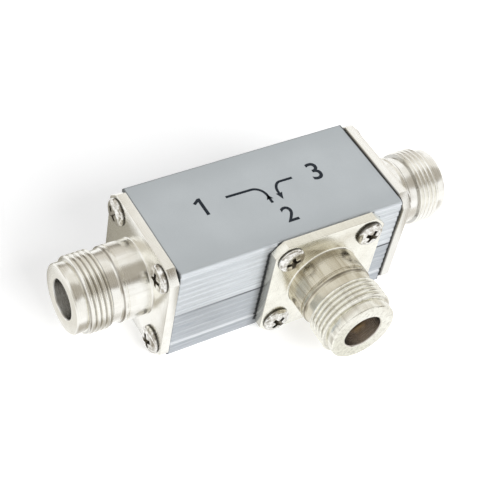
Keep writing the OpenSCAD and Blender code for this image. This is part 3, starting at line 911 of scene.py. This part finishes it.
def dome(share):
    """Height of a screw's head, whose share goes from 0 at its edge to 1 at its crown."""
    return HEAD_EDGE + (HEAD_H - HEAD_EDGE) * share ** HEAD_FULLNESS


def head_outline():
    """Points of a screw's head from under its edge to its crown."""
    made = [(HEAD_R - HEAD_UNDERCUT, 0), (HEAD_R, HEAD_UNDERCUT)]
    for step in range(HEAD_STEPS):
        angle = math.pi / 2 * step / HEAD_STEPS
        made.append((HEAD_R * math.cos(angle) ** HEAD_FULLNESS, dome(math.sin(angle))))
    return made


def screw_blank():
    """A screw without its recess, in millimetres, with the underside of its head at height 0."""
    bm = bmesh.new()
    shank = [(SCREW_R - SHANK_CHAMFER, -SCREW_L), (SCREW_R, SHANK_CHAMFER - SCREW_L), (SCREW_R, 0)]
    rings = revolve(bm, shank + head_outline(), HEAD_AROUND)
    crown = bm.verts.new((0, 0, HEAD_H))
    for i, vert in enumerate(rings[-1]):
        bm.faces.new((vert, rings[-1][(i + 1) % HEAD_AROUND], crown))
    bm.faces.new(list(reversed(rings[0])))
    return bm


def recess_cutter():
    """A cross that narrows downwards round a conical pit, as the driver leaves it."""
    bm = bmesh.new()
    share = (RECESS_DEPTH + RECESS_OVER) / RECESS_DEPTH
    top_r = RECESS_FLOOR_R + (RECESS_R - RECESS_FLOOR_R) * share
    top_w = RECESS_FLOOR_W + (RECESS_W - RECESS_FLOOR_W) * share
    levels = [(RECESS_FLOOR_R, RECESS_FLOOR_W, HEAD_H - RECESS_DEPTH), (top_r, top_w, HEAD_H + RECESS_OVER)]
    rings = []
    for reach, width, height in levels:
        half = width / 2
        inner = half + RECESS_WEB
        verts = []
        for turn in range(4):
            spin = Matrix.Rotation(turn * math.pi / 2, 3, "Z")
            for x, y in ((reach, -half), (reach, half), (inner, half), (half, inner)):
                verts.append(bm.verts.new(spin @ Vector((x, y, height))))
        rings.append(verts)
    join(bm, rings)
    bm.faces.new(rings[1])
    bm.faces.new(list(reversed(rings[0])))
    return bm


def screw_mesh():
    """One finished screw as a mesh in millimetres: the blank less its recess."""
    pieces = []
    for name, bm in (("blank", screw_blank()), ("cutter", recess_cutter())):
        bmesh.ops.recalc_face_normals(bm, faces=bm.faces)
        pieces.append(linked(name, mesh_from(name, bm)))
    blank, cutter = pieces
    cut = blank.modifiers.new("Recess", "BOOLEAN")
    cut.operation = "DIFFERENCE"
    cut.solver = "EXACT"
    cut.object = cutter
    mesh = evaluated_mesh(blank)
    for piece in pieces:
        data = piece.data
        bpy.data.objects.remove(piece)
        bpy.data.meshes.remove(data)
    mark_recess(mesh)
    return mesh


def evaluated_mesh(made):
    """A new mesh of an object as its modifiers or its text make it."""
    bpy.context.view_layer.update()
    graph = bpy.context.evaluated_depsgraph_get()
    return bpy.data.meshes.new_from_object(made.evaluated_get(graph))


def mark_recess(mesh):
    """Gives the walls and the floor of the recess the second material."""
    for polygon in mesh.polygons:
        x, y, z = polygon.center
        from_axis = math.hypot(x, y)
        cosine = min(1, from_axis / HEAD_R) ** (1 / HEAD_FULLNESS)
        crown = dome(math.sqrt(max(0, 1 - cosine * cosine)))
        if z > 0 and from_axis < RECESS_R and z < crown - RECESS_MARGIN:
            polygon.material_index = 1


def add_screws(port, template, materials):
    """Four screws of a jack in one piece, each stopped at its own angle."""
    corners = ((1, 1), (-1, 1), (-1, -1), (1, -1))
    bm = bmesh.new()
    for i, (x, y) in enumerate(corners):
        before = set(bm.verts)
        bm.from_mesh(template)
        turn = Matrix.Rotation(math.radians(FIRST_TURNS[port] + TURN_STEP * i), 4, "Z")
        place = Matrix.Translation((x * HOLE_PLACE, y * HOLE_PLACE, FLANGE_T)) @ turn
        bmesh.ops.transform(bm, matrix=place, verts=[v for v in bm.verts if v not in before])
    made = finished_object(port + "_screws", bm, materials[0])
    made.data.materials.append(materials[1])
    made.matrix_world = port_frame(port)[0]
    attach(made, "root")
    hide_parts(port + "_jack_screws")


def arrow_path(start, middle, end, tail):
    """A line from start to middle, a quarter round from there to end and a straight tail, from above."""
    made = [Vector(start), Vector(middle)]
    for step in range(1, ARROW_STEPS + 1):
        angle = math.pi / 2 * step / ARROW_STEPS
        made.append(Vector((middle[0] + (end[0] - middle[0]) * math.sin(angle),
                            end[1] + (middle[1] - end[1]) * math.cos(angle))))
    made.append(Vector((end[0], tail)))
    return made


def stroke_outline(path, half):
    """Outline of a stroke of even width along a path."""
    sides = ([], [])
    for i, point in enumerate(path):
        along = path[min(i + 1, len(path) - 1)] - path[max(i - 1, 0)]
        across = Vector((-along.y, along.x)).normalized() * half
        sides[0].append(point + across)
        sides[1].append(point - across)
    return [tuple(p) for p in sides[0] + sides[1][::-1]]


def head_points(x, base, tip):
    """Outline of an arrow's solid head, whose base has a shallow notch."""
    notch = base + ARROW_NOTCH * (1 if tip > base else -1)
    return [(x - ARROW_HEAD_W / 2, base), (x, notch), (x + ARROW_HEAD_W / 2, base), (x, tip)]


def add_print(name, outlines, material):
    """Flat printed shapes, a little proud of the top of the case."""
    bm = bmesh.new()
    for outline in outlines:
        levels = [[bm.verts.new((x, y, height)) for x, y in outline]
                  for height in (CASE_H - PRINT_SUNK, CASE_H + PRINT_PROUD)]
        join(bm, levels)
        for level in levels:
            bm.faces.new(level)
    print_piece(finished_object(name, bm, material))


def add_digit(name, digit, place, height, material):
    """A plain printed number, its lower left corner near the given place on the top of the case."""
    curve = bpy.data.curves.new(name, "FONT")
    curve.body = digit
    curve.size = height / DIGIT_SHARE
    curve.offset = DIGIT_BOLD
    curve.extrude = (PRINT_PROUD + PRINT_SUNK) / 2
    curve.resolution_u = DIGIT_CURVE_STEPS
    drawn = linked(name, curve)
    bm = bmesh.new()
    bm.from_mesh(evaluated_mesh(drawn))
    bpy.data.objects.remove(drawn)
    bmesh.ops.remove_doubles(bm, verts=bm.verts, dist=DIGIT_WELD)
    level = CASE_H + (PRINT_PROUD - PRINT_SUNK) / 2
    bmesh.ops.translate(bm, verts=bm.verts, vec=(place[0], place[1], level))
    print_piece(finished_object(name, bm, material))


def print_piece(piece):
    """Print rides with the case."""
    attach(piece, "root")


def dress(node, material, bevel=0.0):
    """Gives a CAD node its finish, and breaks its sharp edges by a small bevel."""
    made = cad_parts[node]
    made.data.materials.clear()
    made.data.materials.append(material)
    if bevel:
        modifier = made.modifiers.new("Broken edges", "BEVEL")
        modifier.width = bevel * MM
        modifier.segments = 2
        modifier.limit_method = "ANGLE"
        modifier.angle_limit = math.radians(BEVEL_ANGLE)
        modifier.harden_normals = False


def aim(made, direction):
    """Turns an object so that its local -Z looks along a direction."""
    made.rotation_mode = "QUATERNION"
    made.rotation_quaternion = direction.to_track_quat("-Z", "Y")


def add_lamp(name, place, size, power):
    """A square soft lamp that points at the object and isn't seen in reflections."""
    data = bpy.data.lights.new(name, "AREA")
    data.shape = "SQUARE"
    data.size = size
    data.energy = power
    lamp = linked(name, data)
    lamp.location = place
    aim(lamp, Vector(LAMP_AIM) - Vector(place))
    lamp.visible_glossy = False


def add_camera():
    """The photograph's camera."""
    data = bpy.data.cameras.new("camera")
    data.lens = CAMERA_LENS
    data.sensor_width = CAMERA_SENSOR
    data.clip_start = CAMERA_NEAR
    data.clip_end = CAMERA_FAR
    made = linked("camera", data)
    made.location = Vector(CAMERA_PLACE) * MM
    made.rotation_mode = "QUATERNION"
    made.rotation_quaternion = CAMERA_TURN
    bpy.context.scene.camera = made


def add_disc(name, radius):
    """A flat round sheet that faces up, with its radius in metres."""
    bm = bmesh.new()
    bmesh.ops.create_circle(bm, cap_ends=True, radius=radius, segments=DISC_AROUND)
    return linked(name, mesh_from(name, bm))


def add_floor():
    """A wide pale floor that keeps the shadow, white to the camera and in reflections."""
    made = add_disc("floor", FLOOR_R)
    made.location = (0, 0, cad_low.z)
    finish = Finish("floor_paper")
    paths = finish.add("ShaderNodeLightPath").outputs
    mirrored = finish.maths("MAXIMUM", paths["Is Glossy Ray"], paths["Is Transmission Ray"])
    from_middle = finish.from_axis(finish.place())
    seen_lift = finish.span(from_middle, LAMPLIT_R, UNLIT_R, CAMERA_LIFT, FAR_LIFT, smooth=True)
    lift = finish.maths("ADD", finish.times(paths["Is Camera Ray"], seen_lift),
                        finish.times(mirrored, MIRROR_LIFT))
    finish.surface(finish.blend(mirrored, FLOOR_PAPER, MIRRORED_PAPER), 0.0, 0.9)
    finish.fix("Specular IOR Level", 0.0)
    finish.fix("Emission Color", (1, 1, 1, 1))
    finish.fix("Emission Strength", lift)
    made.data.materials.append(finish.material)


def add_card(name, azimuth, elevation, half_angle, colour, even, distance, stretch, shift):
    """A studio card with a soft edge that faces the object, seen only in reflections."""
    angle = math.radians(azimuth)
    rise = math.radians(elevation)
    across = Vector((-math.sin(angle), math.cos(angle), 0))
    place = Vector(around_axis(math.cos(rise), angle, math.sin(rise))) * distance
    radius = distance * math.tan(math.radians(half_angle))
    made = add_disc(name, radius)
    made.location = place + across * shift
    aim(made, -place)
    made.scale = (stretch, 1, 1)
    finish_card(made, name, radius / MM, colour, even)


def add_floor_shadow_card(number, name, place, radius, stretch, turn, colour, even):
    """A soft-edged patch of painted shadow on the floor, seen only in reflections."""
    lift = FLOOR_CARD_LIFT + FLOOR_CARD_STEP * number
    made = add_disc(name, radius * MM)
    made.location = (place[0] * MM, place[1] * MM, cad_low.z + lift * MM)
    made.rotation_euler = (0, 0, math.radians(turn))
    made.scale = (stretch, 1, 1)
    finish_card(made, name, radius, colour, even)


def finish_card(made, name, radius, colour, even):
    """Gives a round card its plain glow, which fades out from its even middle to its edge."""
    finish = Finish(name)
    finish.surface((0, 0, 0, 1), 0.0, 1.0)
    finish.fix("Specular IOR Level", 0.0)
    finish.fix("Emission Color", colour)
    finish.fix("Emission Strength", 1.0)
    edge = finish.span(finish.from_axis(finish.place()), radius * even, radius, 1.0, 0.0, smooth=True)
    finish.fix("Alpha", edge)
    made.data.materials.append(finish.material)
    made.visible_camera = False
    made.visible_shadow = False
    made.visible_diffuse = False


def light_world():
    """An even pale sky, white where it is seen, plainer where it lights the object."""
    world = bpy.data.worlds.new("sky")
    bpy.context.scene.world = world
    world.use_nodes = True
    nodes = Nodes(world.node_tree)
    background = world.node_tree.nodes["Background"]
    background.inputs["Color"].default_value = (1, 1, 1, 1)
    paths = nodes.add("ShaderNodeLightPath").outputs
    seen = nodes.maths("MAXIMUM", paths["Is Camera Ray"], paths["Is Glossy Ray"])
    seen = nodes.maths("MAXIMUM", seen, paths["Is Transmission Ray"])
    nodes.feed(background.inputs["Strength"], nodes.span(seen, 0, 1, SKY_LIGHT, 1.0))


def build_stage():
    """Camera, floor, sky, lamps and cards."""
    bpy.context.scene.view_settings.view_transform = "Standard"
    add_camera()
    add_floor()
    light_world()
    for lamp in LAMPS:
        add_lamp(*lamp)
    for card in CARDS:
        add_card(*card)
    for number, card in enumerate(FLOOR_SHADOW_CARDS):
        add_floor_shadow_card(number, *card)


def dress_case():
    """Finishes of the two halves of the case."""
    upper_rib_low = UPPER_RIB_Z - RIB_PITCH * (RIB_COUNT - 1)
    dress("case_upper_half", anodised_finish("anodised_upper", UPPER_WALL, 0.0, upper_rib_low), bevel=0.05)
    # The lower half's walls are darker, painted shade
    dress("case_lower_half", anodised_finish("anodised_lower", LOWER_WALL, 0.05, LOWER_RIB_Z), bevel=0.05)


def dress_jacks(insulator):
    """Jack bodies and screws in place of the plain ones, and finishes of what the bodies hold."""
    gilt = plain_metal_finish("gilt", srgb(180, 154, 110), srgb(144, 121, 84), rough=0.25)
    # Darker steel on the walls and floor of the screws' recesses
    recess = plain_metal_finish("darker_recess_steel", srgb(168, 163, 152), srgb(66, 62, 55), rough=0.22)
    template = screw_mesh()
    for number, port in enumerate(PORT_TURNS):
        add_jack(port, RING_SHIFT * number)
        add_screws(port, template, (screw_finish(port + "_steel", CORNER_SHADOW[port]), recess))
        dress(port + "_jack_insulator", insulator, bevel=0.08)
        dress(port + "_jack_contact", gilt, bevel=0.03)
    bpy.data.meshes.remove(template)


def dress_inside(insulator):
    """Finishes of the board, what it carries and the line with its sleeves."""
    copper = plain_metal_finish("copper", srgb(206, 140, 100), srgb(150, 98, 66), rough=0.3)
    dress("circuit_board", board_finish(), bevel=0.03)
    dress("circuit_tracks", copper)
    chip = chip_finish()
    for number in range(CHIP_COUNT):
        dress("chip_resistor_%d" % (number + 1), chip, bevel=0.04)
    dress("balun_shield", copper, bevel=0.03)
    dress("balun_dielectric", insulator, bevel=0.03)
    silver = plain_metal_finish("silvered_wire", srgb(226, 225, 220), srgb(190, 188, 182), rough=0.2)
    dress("balun_core", silver, bevel=0.03)
    ferrite = ferrite_finish()
    for number in range(SLEEVE_COUNT):
        dress("ferrite_sleeve_%d" % (number + 1), ferrite, bevel=0.1)


def print_top():
    """The two arrows and the three port numbers."""
    ink = print_finish()
    for name, start, middle, end, tail, base, tip in ARROWS:
        stroke = stroke_outline(arrow_path(start, middle, end, tail), ARROW_STROKE / 2)
        add_print(name, [stroke, head_points(end[0], base, tip)], ink)
    add_print("output_number", [ONE_OUTLINE], ink)
    for name, digit, place, height in DIGITS:
        add_digit(name, digit, place, height, ink)


build_stage()
dress_case()
dielectric = dielectric_finish()
dress_jacks(dielectric)
dress_inside(dielectric)
print_top()
